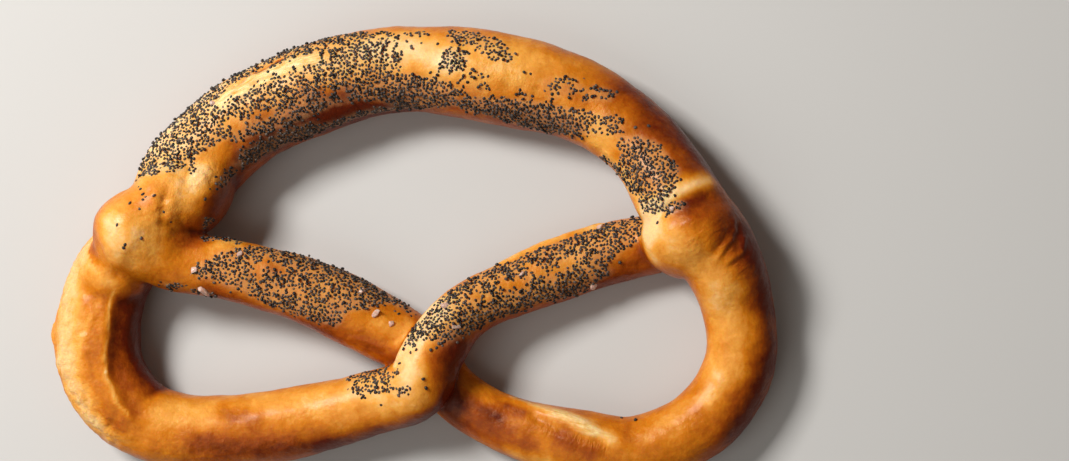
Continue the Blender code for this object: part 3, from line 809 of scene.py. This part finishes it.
def rope_places(points, rings, numbers):
    """Where points of the fused skin are on the rope."""
    sides = rings.shape[1]
    tree = KDTree(rings.shape[0] * sides)
    for i, point in enumerate(rings.reshape(-1, 3)):
        tree.insert(point, i)
    tree.balance()
    nearest = np.array([tree.find(point)[1] for point in points])
    number = numbers[nearest // sides]
    for _ in range(PROJECTIONS):
        middle = rope_at(number)[0]
        ahead = frames_at(number)[0]
        beyond = ((points - middle) * ahead).sum(1)
        number = np.clip(number + beyond / STATION_SPACING, 0, LAST)
    middle, half_width, half_height = rope_at(number)
    ahead, side, up = frames_at(number)
    out = points - middle
    sideways = (out * side).sum(1) / half_width
    upwards = (out * up).sum(1) / half_height
    angle = np.degrees(np.arctan2(upwards, sideways)) % 360
    angle = np.where(angle > 270, angle - 360, angle)
    return Places(length_at(number) + (out * ahead).sum(1), angle, half_width)


def bake_and_shade_at(points, normals, places):
    """How dark the crust is, from 0, pale cream, to 1, deep brown, with painted shade and painted light
    added.
    """
    bake_and_shade = USUAL_BAKE + painted(TINTS, warped(places, points, BAKE_WARP))
    bake_and_shade += painted_from_above(TINTS_FROM_ABOVE, points, normals)
    # Painted shade towards each strand's sides
    bake_and_shade += SIDE_SHADE * (1 - np.sin(np.radians(np.clip(places.angle, 0, 180)))) ** SIDE_POWER
    bake_and_shade += FOOT_BAKE * np.clip(1 - points[:, 2] / FOOT_HEIGHT, 0, 1)
    # Painted shade on the side that faces away from the light, and painted light on the side that faces
    # it
    towards_shade = normals @ SHADED_SIDE
    bake_and_shade += np.where(towards_shade > 0, PAINTED_SHADE, PAINTED_LIGHT) * towards_shade
    return bake_and_shade


def skin_rise(points, normals, places, blistered):
    """How far the finished skin's dimples, blisters and folds stand out."""
    rise = DIMPLE_HEIGHT * noise_at(points, DIMPLE_LENGTH, octaves=3)
    rise += BLISTER_HEIGHT * blistered * noise_at(points, BLISTER_LENGTH, octaves=3)
    rise += painted(FOLDS, warped(places, points, FOLD_WARP))
    rise += painted_from_above(FOLDS_FROM_ABOVE, points, normals)
    return rise


def add_attribute(mesh, name, values):
    mesh.attributes.new(name, "FLOAT", "POINT").data.foreach_set("value", values)


def blurred(values, mesh, rounds):
    """Values at the vertices, each evened out with its neighbours' a number of times."""
    edges = np.empty(len(mesh.edges) * 2, int)
    mesh.edges.foreach_get("vertices", edges)
    one, other = edges.reshape(-1, 2).T
    count = np.bincount(edges, minlength=len(values))
    for _ in range(rounds):
        total = np.bincount(one, values[other], len(values))
        total += np.bincount(other, values[one], len(values))
        values = (values + total / count) / 2
    return values


def smoothed_points(dough, iterations):
    """The vertices of a smoother copy of the dough."""
    copy = dough.copy()
    bpy.context.scene.collection.objects.link(copy)
    add_smoothing(copy, "smoother", iterations)
    mesh = evaluated_mesh(copy)
    points = vertex_array(mesh, "co") / MM
    bpy.data.objects.remove(copy)
    bpy.data.meshes.remove(mesh)
    return points


def fuse_skin(dough):
    """Makes one skin over the crossing strands."""
    skin = dough.modifiers.new("one_skin", "REMESH")
    skin.mode = "VOXEL"
    skin.voxel_size = SKIN_VOXEL * MM
    add_smoothing(dough, "soft_creases", SKIN_SMOOTHING)
    made = evaluated_mesh(dough)
    dough.modifiers.clear()
    dough.data = made


def make_dough(material):
    """The bare pretzel: one uneven skin over the crossing strands, flat where it lay on the tray."""
    rings, numbers = rope_rings()
    dough = add_object("pretzel_dough", rope_mesh(rings))
    fuse_skin(dough)
    mesh = dough.data

    points, normals = points_and_normals(mesh)
    places = rope_places(points, rings, numbers)
    blend = np.clip(painted_from_above(BLENDED, points, normals), 0, 1)[:, None]
    points = points + (smoothed_points(dough, BLENDED_SMOOTHING) - points) * blend
    set_vertices(mesh, points)

    normals = vertex_array(mesh, "normal")
    # How deep each point lies in a hollow, which the crust's colour turns into painted shade
    hollow = ((smoothed_points(dough, HOLLOW_SMOOTHING) - points) * normals).sum(1)
    blistered = painted(BLISTERED, places)
    blistered += painted_from_above(BLISTERED_FROM_ABOVE, points, normals)
    points = points + normals * skin_rise(points, normals, places, blistered)[:, None]
    points[:, 2] = np.maximum(points[:, 2], 0.0)
    set_vertices(mesh, points)

    bake_and_shade = bake_and_shade_at(points, normals, places)
    bake_and_shade += (blurred(bake_and_shade, mesh, BAKE_BLUR) - bake_and_shade) * blend[:, 0]
    looks = {
        "hollow": hollow,
        "bake_and_shade": bake_and_shade,
        "bloom": painted(BLOOMS, warped(places, points, BLOOM_WARP)),
        "glazed": painted_from_above(GLAZED, points, normals),
        "wrinkled": painted(WRINKLED, places),
        "blistered": blistered,
        "dusted": np.clip(seed_density(points, places), 0, 1),
        "along": places.along,
        "around": np.radians(places.angle) * places.radius,
    }
    for name, values in looks.items():
        add_attribute(mesh, name, values)
    mesh.shade_smooth()
    mesh.materials.append(material)
    return dough, places


# ---- seeds and salt ----


def seed_density(points, places):
    """How thickly the seeds lie at points of the skin."""
    places = warped(places, points, SEED_WARP)
    masks = [patch.amount * patch_mask(patch, places) for patch in SEEDED_PATCHES]
    masks += [line.amount * rope_mask(line, places) for line in SEEDED_LINES]
    return np.max(masks, axis=0) * (1 - np.clip(painted(BARE, places), 0, 1))


def seed_chance(density, clump):
    """The chance that a seed lies at a place, which noise turns into clumps and gaps."""
    chance = CHANCE_GAIN * density + clump - CHANCE_LOSS
    return np.clip(chance, 0, 1) * np.clip(density / SCATTERED_BELOW, 0, 1)


def spaced_out(points, spacing):
    """Which points keep a distance from those kept before them, found by the cells of a grid."""
    cells = {}
    for i, point in enumerate(points):
        x, y, z = (int(c // spacing) for c in point)
        beside = [(x + dx, y + dy, z + dz) for dx, dy, dz in product((-1, 0, 1), repeat=3)]
        near = (other for cell in beside for other in cells.get(cell, ()))
        if all(math.dist(point, other) >= spacing for other in near):
            cells.setdefault((x, y, z), []).append(point)
            yield i


def seed_places(dough, places, draw):
    """Places and normals of the scattered seeds."""
    mesh = dough.data
    mesh.calc_loop_triangles()
    corners = np.empty(len(mesh.loop_triangles) * 3, int)
    mesh.loop_triangles.foreach_get("vertices", corners)
    corners = corners.reshape(-1, 3)
    points, normals = points_and_normals(mesh)
    density = seed_density(points, places)
    chance = seed_chance(density, noise_at(points + CLUMP_SHIFT, CLUMP_LENGTH, octaves=3))
    sides = points[corners[:, 1:]] - points[corners[:, :1]]
    areas = np.linalg.norm(np.cross(sides[:, 0], sides[:, 1]), axis=1)
    weights = areas * (density[corners].mean(1) > SEEDED_FROM)
    chosen = corners[draw.choice(len(corners), SEED_TRIES, p=weights / weights.sum())]
    shares = draw.dirichlet((1, 1, 1), SEED_TRIES)
    spots = (points[chosen] * shares[..., None]).sum(1)
    ways = unit((normals[chosen] * shares[..., None]).sum(1))
    wanted = (chance[chosen] * shares).sum(1) > draw.uniform(0, 1, SEED_TRIES)
    kept = [i for i in spaced_out(spots, SEED_SPACING) if wanted[i]]
    return spots[kept], ways[kept]


def on_skin(dough, number, angle):
    """The place and normal on the fused skin nearest to a place on the rope."""
    wanted = skin_points(np.array([float(number)]), np.array([float(angle)]))[0, 0]
    _, place, normal, _ = dough.closest_point_on_mesh(Vector(wanted * MM))
    return np.array(place) / MM, np.array(normal)


def under(dough, x, y):
    """The place and normal of the skin's top at a point seen from above."""
    _, place, normal, _ = dough.ray_cast(Vector((x * MM, y * MM, ABOVE)), Vector((0, 0, -1)))
    return np.array(place) / MM, np.array(normal)


def points_and_triangles(bm):
    """What a shape is made of, as arrays. The shape itself is freed."""
    bmesh.ops.triangulate(bm, faces=bm.faces)
    bm.verts.index_update()
    points = np.array([vertex.co for vertex in bm.verts])
    triangles = np.array([[vertex.index for vertex in face.verts] for face in bm.faces])
    bm.free()
    return points, triangles


def seed_shape():
    """One poppy seed, kidney shaped and a little flat."""
    bm = bmesh.new()
    bmesh.ops.create_uvsphere(bm, u_segments=SEED_SIDES, v_segments=SEED_RINGS, radius=0.5)
    points, triangles = points_and_triangles(bm)
    points = points[:, [2, 0, 1]]
    points[:, 1] -= SEED_BEND * points[:, 0] ** 2 - SEED_MIDDLE
    return points * SEED_SIZE, triangles


def turned(normals, draw, tilt):
    """A rotation for each normal: its third axis near the normal, the others turned at random."""
    up = unit(normals + draw.normal(0, tilt, normals.shape))
    side = unit(np.cross(up, draw.normal(0, 1, normals.shape)))
    return np.stack([side, np.cross(up, side), up], axis=-1)


def joined_mesh(name, shapes):
    """One mesh of many small shapes, each a pair of points and triangles."""
    points, faces, count = [], [], 0
    for corners, triangles in shapes:
        points.append(corners)
        faces.append(triangles + count)
        count += len(corners)
    mesh = bpy.data.meshes.new(name)
    mesh.from_pydata((np.concatenate(points) * MM).tolist(), [], np.concatenate(faces).tolist())
    return mesh


def make_seeds(dough, places, material):
    draw = np.random.default_rng(SEED_DRAW)
    spots, ways = seed_places(dough, places, draw)
    alone = [on_skin(dough, *stray) for stray in STRAYS]
    alone += [under(dough, *stray) for stray in STRAYS_FROM_ABOVE]
    spots = np.concatenate([spots, [spot for spot, _ in alone]])
    ways = np.concatenate([ways, [way for _, way in alone]])
    count = len(spots)
    shape, triangles = seed_shape()
    rotations = turned(ways, draw, SEED_TILT)
    sizes = draw.normal(1.0, SIZE_SPREAD, (count, 1, 3)).clip(*SIZE_LIMITS)
    lifts = draw.uniform(*SEED_LIFTS, (count, 1)) - SEED_SINK
    lifts += PILED_LIFT * (draw.uniform(0, 1, (count, 1)) < PILED_SHARE)
    corners = np.einsum("nij,nkj->nki", rotations, shape * sizes)
    corners += (spots + ways * lifts)[:, None]
    mesh = joined_mesh("poppy_seeds", [(seed, triangles) for seed in corners])
    add_attribute(mesh, "tone", np.repeat(draw.uniform(0, 1, count), len(shape)))
    mesh.shade_smooth()
    return add_object("poppy_seeds", mesh, material)


def salt_shape(stretch, draw):
    """A rough grain of salt: the hull of random corners in a block."""
    corners = draw.uniform(-0.5, 0.5, (SALT_CORNERS, 3))
    corners /= np.maximum(np.abs(corners).max(1, keepdims=True) * 2, SALT_CORE)
    corners *= SALT_SIZE * (stretch, 1, 1)
    bm = bmesh.new()
    for corner in corners:
        bm.verts.new(corner)
    bmesh.ops.convex_hull(bm, input=bm.verts)
    bmesh.ops.delete(bm, geom=[v for v in bm.verts if not v.link_faces], context="VERTS")
    bmesh.ops.bevel(
        bm, geom=bm.edges[:], offset=SALT_BEVEL, segments=SALT_BEVEL_STEPS, affect="EDGES"
    )
    return points_and_triangles(bm)


def make_salt(dough, material):
    draw = np.random.default_rng(SEED_DRAW)
    shapes = []
    for number, angle, stretch in SALTED:
        spot, way = on_skin(dough, number, angle)
        points, triangles = salt_shape(stretch, draw)
        rotation = turned(way[None], draw, SALT_TILT)[0]
        shapes.append((points @ rotation.T + spot, triangles))
    mesh = joined_mesh("salt_grains", shapes)
    mesh.shade_smooth()
    mesh.set_sharp_from_angle(angle=math.radians(SALT_EDGE))
    return add_object("salt_grains", mesh, material)


# ---- materials ----


FIRST_COLOUR, SECOND_COLOUR, MIXED_COLOUR = 6, 7, 2  # sockets of the node that mixes colours


class Nodes:
    """Adds and links the nodes of one material."""

    def __init__(self, name):
        self.material = bpy.data.materials.new(name)
        self.material.use_nodes = True
        self.tree = self.material.node_tree

    def put(self, node, values):
        """Sets a node's inputs to numbers or colours, or links them to other nodes' outputs."""
        for name, value in values.items():
            if isinstance(value, bpy.types.NodeSocket):
                self.tree.links.new(value, node.inputs[name])
            else:
                node.inputs[name].default_value = value

    def finished(self, values):
        """The material, after its shader has got these inputs."""
        self.put(self.tree.nodes["Principled BSDF"], values)
        return self.material

    def add(self, kind, values, output=0, **settings):
        """The output of a new node with these inputs and settings."""
        node = self.tree.nodes.new("ShaderNode" + kind)
        for name, value in settings.items():
            setattr(node, name, value)
        self.put(node, values)
        return node.outputs[output]

    def attribute(self, name):
        return self.add("Attribute", {}, "Fac", attribute_name=name)

    def combine(self, x, y, z=0.0):
        return self.add("CombineXYZ", {"X": x, "Y": y, "Z": z})

    def noise(self, length, detail=3.0, roughness=0.55, where=None, distortion=0.0):
        """Noise with bumps of this length in millimetres."""
        values = {
            "Vector": where or self.add("TexCoord", {}, "Object"),
            "Scale": 1 / length if where else 1 / (length * MM),
            "Detail": detail,
            "Roughness": roughness,
            "Distortion": distortion,
        }
        return self.add("TexNoise", values, "Fac")

    def math(self, operation, *values):
        return self.add("Math", dict(enumerate(values)), operation=operation)

    def swayed(self, value, noise_value, amount):
        """The value moved up and down by noise, whose middle is a half."""
        return self.math("MULTIPLY_ADD", self.math("SUBTRACT", noise_value, 0.5), amount, value)

    def scaled(self, value, low, high, to_low=0.0, to_high=1.0):
        """The value moved from one range to another, and held inside it."""
        return self.add("MapRange", dict(enumerate((value, low, high, to_low, to_high))))

    def ramp(self, value, stops):
        colour = self.add("ValToRGB", {"Fac": value}, "Color")
        elements = colour.node.color_ramp.elements
        while len(elements) < len(stops):
            elements.new(0.5)
        for element, (position, stop) in zip(elements, stops):
            element.position = position
            element.color = (*stop, 1.0)
        return colour

    def mix(self, share, one, other):
        """A blend of two colours."""
        values = {"Factor": share, FIRST_COLOUR: one, SECOND_COLOUR: other}
        return self.add("Mix", values, MIXED_COLOUR, data_type="RGBA")

    def bump(self, height, distance, below=None):
        """Bumps of this height in millimetres, on top of those below."""
        values = {"Height": height, "Distance": distance * MM}
        if below:
            values["Normal"] = below
        return self.add("Bump", values, "Normal")


CREAM = (0.88, 0.57, 0.25)
PALE_GOLD = (0.80, 0.35, 0.055)
GOLD = (0.62, 0.185, 0.006)
AMBER = (0.36, 0.070, 0.002)
BROWN = (0.12, 0.010, 0.001)
CRUST_COLOURS = [(0.05, CREAM), (0.28, PALE_GOLD), (0.50, GOLD), (0.74, AMBER), (1.0, BROWN)]
BLOOM_PALE = (0.92, 0.66, 0.30, 1.0)
BLOOM_BROWN = (0.70, 0.35, 0.07, 1.0)
DUSTED, DUST_SHARE = (0.84, 0.48, 0.22, 1.0), 0.26  # crust between the seeds, under broken ones
HOLLOW_BAKE_AND_SHADE = (-0.5, 0.7, -0.10, 0.42)  # from bulging to hollow, and from paler to browner: browner in hollows, partly for egg wash pooled there and partly as painted shade, and paler on bulges as painted light
BROAD_MOTTLE, FINE_MOTTLE, STREAK_MOTTLE = 0.40, 0.32, 0.10
CRUST_ROUGHNESS = (0.28, 0.50)
BLOOM_ROUGHNESS, GLAZE_ROUGHNESS = 0.12, -0.24
CRUST_SHADER = {
    "Subsurface Weight": 0.35,
    "Subsurface Radius": (1.0, 0.30, 0.08),
    "Subsurface Scale": 4 * MM,
    "IOR": 1.30,
    "Specular IOR Level": 0.45,
    "Specular Tint": (1.0, 0.80, 0.55, 1.0),
    "Coat Weight": 0.14,
    "Coat IOR": 1.40,
    "Coat Roughness": 0.20,
}
# Heights of the bumps that are too fine for the mesh
LUMPS, PORES, WRINKLES, PIMPLES, FIBRES = 0.45, 0.24, 0.55, 0.9, 0.30
SEED_COLOURS = [
    (0.0, (0.008, 0.006, 0.005)),
    (0.5, (0.018, 0.013, 0.011)),
    (0.9, (0.050, 0.036, 0.030)),
    (1.0, (0.090, 0.062, 0.046)),
]
SALT_COLOURS = [(0.3, (0.50, 0.28, 0.19)), (0.7, (0.74, 0.52, 0.42))]


def crust_colour(n, streaks, bloom_share):
    """From pale cream to brown, browner in hollows with painted shade and paler on bulges with painted
    light, paler between the seeds and where the crumb burst out.
    """
    # Painted shade in the hollows and painted light on bulges, along with egg wash pooled in the
    # hollows
    hollow = n.scaled(n.attribute("hollow"), *HOLLOW_BAKE_AND_SHADE)
    bake_and_shade = n.math("ADD", n.attribute("bake_and_shade"), hollow)
    bake_and_shade = n.swayed(bake_and_shade, n.noise(9.0, detail=4.0), BROAD_MOTTLE)
    bake_and_shade = n.swayed(bake_and_shade, n.noise(2.4, detail=4.0, roughness=0.65), FINE_MOTTLE)
    bake_and_shade = n.swayed(bake_and_shade, streaks, STREAK_MOTTLE)
    dust = n.math("MULTIPLY", n.attribute("dusted"), DUST_SHARE)
    colour = n.mix(dust, n.ramp(bake_and_shade, CRUST_COLOURS), DUSTED)
    fibres = n.scaled(streaks, 0.34, 0.60)
    return n.mix(bloom_share, colour, n.mix(fibres, BLOOM_BROWN, BLOOM_PALE))


def crust_bumps(n, streaks, bloom_share):
    """Fine wrinkles, pimples, pores and fibres of the crust."""
    place = n.combine(n.attribute("along"), n.math("MULTIPLY", n.attribute("around"), 0.35))
    folds = n.noise(1.3, detail=2.0, where=place, distortion=0.6)
    wrinkled = n.math("MINIMUM", n.attribute("wrinkled"), 1.0)
    blistered = n.math("MINIMUM", n.attribute("blistered"), 1.0)
    pimples = n.noise(1.6, detail=4.0, roughness=0.65)
    normal = n.bump(n.noise(4.5, detail=2.0), LUMPS)
    normal = n.bump(n.noise(1.3, detail=5.0, roughness=0.6), PORES, normal)
    normal = n.bump(n.math("MULTIPLY", folds, wrinkled), WRINKLES, normal)
    normal = n.bump(n.math("MULTIPLY", pimples, blistered), PIMPLES, normal)
    return n.bump(n.math("MULTIPLY", streaks, bloom_share), FIBRES, normal)


def crust_material():
    """Egg-washed crust with burst seams."""
    n = Nodes("crust")
    place = n.combine(n.math("MULTIPLY", n.attribute("along"), 0.22), n.attribute("around"))
    streaks = n.noise(0.9, roughness=0.6, where=place)
    bloom = n.math("MULTIPLY_ADD", streaks, 0.30, n.attribute("bloom"))
    bloom_share = n.scaled(bloom, 0.30, 1.0)
    roughness = n.scaled(n.noise(11.0, detail=4.0), 0.35, 0.65, *CRUST_ROUGHNESS)
    roughness = n.math("MULTIPLY_ADD", bloom_share, BLOOM_ROUGHNESS, roughness)
    roughness = n.math("MULTIPLY_ADD", n.attribute("glazed"), GLAZE_ROUGHNESS, roughness)
    varied = {
        "Base Color": crust_colour(n, streaks, bloom_share),
        "Roughness": roughness,
        "Normal": crust_bumps(n, streaks, bloom_share),
    }
    return n.finished({**CRUST_SHADER, **varied})


def seed_material():
    """Warm black seeds, some greyer or browner, with a netted surface."""
    n = Nodes("poppy_seed")
    tone = n.math("MULTIPLY_ADD", n.noise(0.5, detail=2.0), 0.35, n.attribute("tone"))
    values = {
        "Base Color": n.ramp(tone, SEED_COLOURS),
        "Specular IOR Level": 0.35,
        "Roughness": 0.45,
        "Normal": n.bump(n.noise(0.22, detail=1.0), 0.05),
    }
    return n.finished(values)


def salt_material():
    """Cloudy grains, tinted by the crust below them."""
    n = Nodes("salt")
    values = {
        "Base Color": n.ramp(n.noise(0.8), SALT_COLOURS),
        "Roughness": 0.28,
        "Subsurface Weight": 0.25,
        "Subsurface Scale": 1 * MM,
        "Normal": n.bump(n.noise(0.5, detail=2.0), 0.05),
    }
    return n.finished(values)


# ---- floor, light and camera ----

# The floor and the lights are in metres
FLOOR_COLOUR = (0.56, 0.54, 0.51, 1.0)
FLOOR_SIZE = 1.5
FLOOR_DROP = 0.0001  # just below the pretzel's flat
SKY_COLOUR, SKY_STRENGTH = (1.0, 0.94, 0.86, 1.0), 0.14
LIT_POINT = (0.0, 0.0, 0.01)


def make_floor():
    bm = bmesh.new()
    bmesh.ops.create_grid(bm, size=FLOOR_SIZE)
    mesh = bpy.data.meshes.new("floor")
    bm.to_mesh(mesh)
    bm.free()
    material = Nodes("floor").finished({"Base Color": FLOOR_COLOUR, "Roughness": 0.85})
    floor = add_object("floor", mesh, material)
    floor.location.z = -FLOOR_DROP
    floor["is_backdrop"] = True


def add_area_light(name, place, size, power):
    light = bpy.data.lights.new(name, "AREA")
    light.size = size
    light.energy = power
    obj = add_object(name, light)
    obj.location = place
    obj.rotation_euler = (Vector(place) - Vector(LIT_POINT)).to_track_quat("Z", "Y").to_euler()


def make_lights():
    add_area_light("key", (-0.50, 0.38, 0.72), size=0.30, power=11.2)
    add_area_light("fill", (-0.40, -0.50, 0.78), size=0.80, power=2.3)
    world = bpy.data.worlds.new("studio")
    world.use_nodes = True
    sky = world.node_tree.nodes["Background"].inputs
    sky["Color"].default_value = SKY_COLOUR
    sky["Strength"].default_value = SKY_STRENGTH
    bpy.context.scene.world = world
    bpy.context.scene.view_settings.view_transform = "Standard"


# The view is onto the seeded side, a little from the right and from below.
FRAME_WIDTH = 1069
PIXELS_PER_MM = 3.6
CAMERA_DISTANCE = 700.0
CAMERA_TARGET = Vector((35.6, 6.0, 10.0))
CAMERA_YAW, CAMERA_PITCH = 8.0, 4.0
CAMERA_NEAR = 0.01  # metres


def make_camera():
    data = bpy.data.cameras.new("camera")
    data.lens = PIXELS_PER_MM * CAMERA_DISTANCE / FRAME_WIDTH * data.sensor_width
    data.clip_start = CAMERA_NEAR
    back = Vector((math.tan(math.radians(CAMERA_YAW)), -math.tan(math.radians(CAMERA_PITCH)), 1.0))
    back.normalize()
    right = Vector((0, 1, 0)).cross(back).normalized()
    axes = Matrix((right, back.cross(right), back)).transposed()
    camera = add_object("camera", data)
    place = (CAMERA_TARGET + back * CAMERA_DISTANCE) * MM
    camera.matrix_world = Matrix.Translation(place) @ axes.to_4x4()
    bpy.context.scene.camera = camera


def main():
    dough, places = make_dough(crust_material())
    seeds = make_seeds(dough, places, seed_material())
    salt = make_salt(dough, salt_material())
    for piece in (dough, seeds, salt):
        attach(piece, "root")
    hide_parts("pretzel")
    make_floor()
    make_lights()
    make_camera()


main()
boxes = {"cad": CAD_BOX, "visual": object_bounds()}
{name: [list(corner) for corner in box] for name, box in boxes.items()}
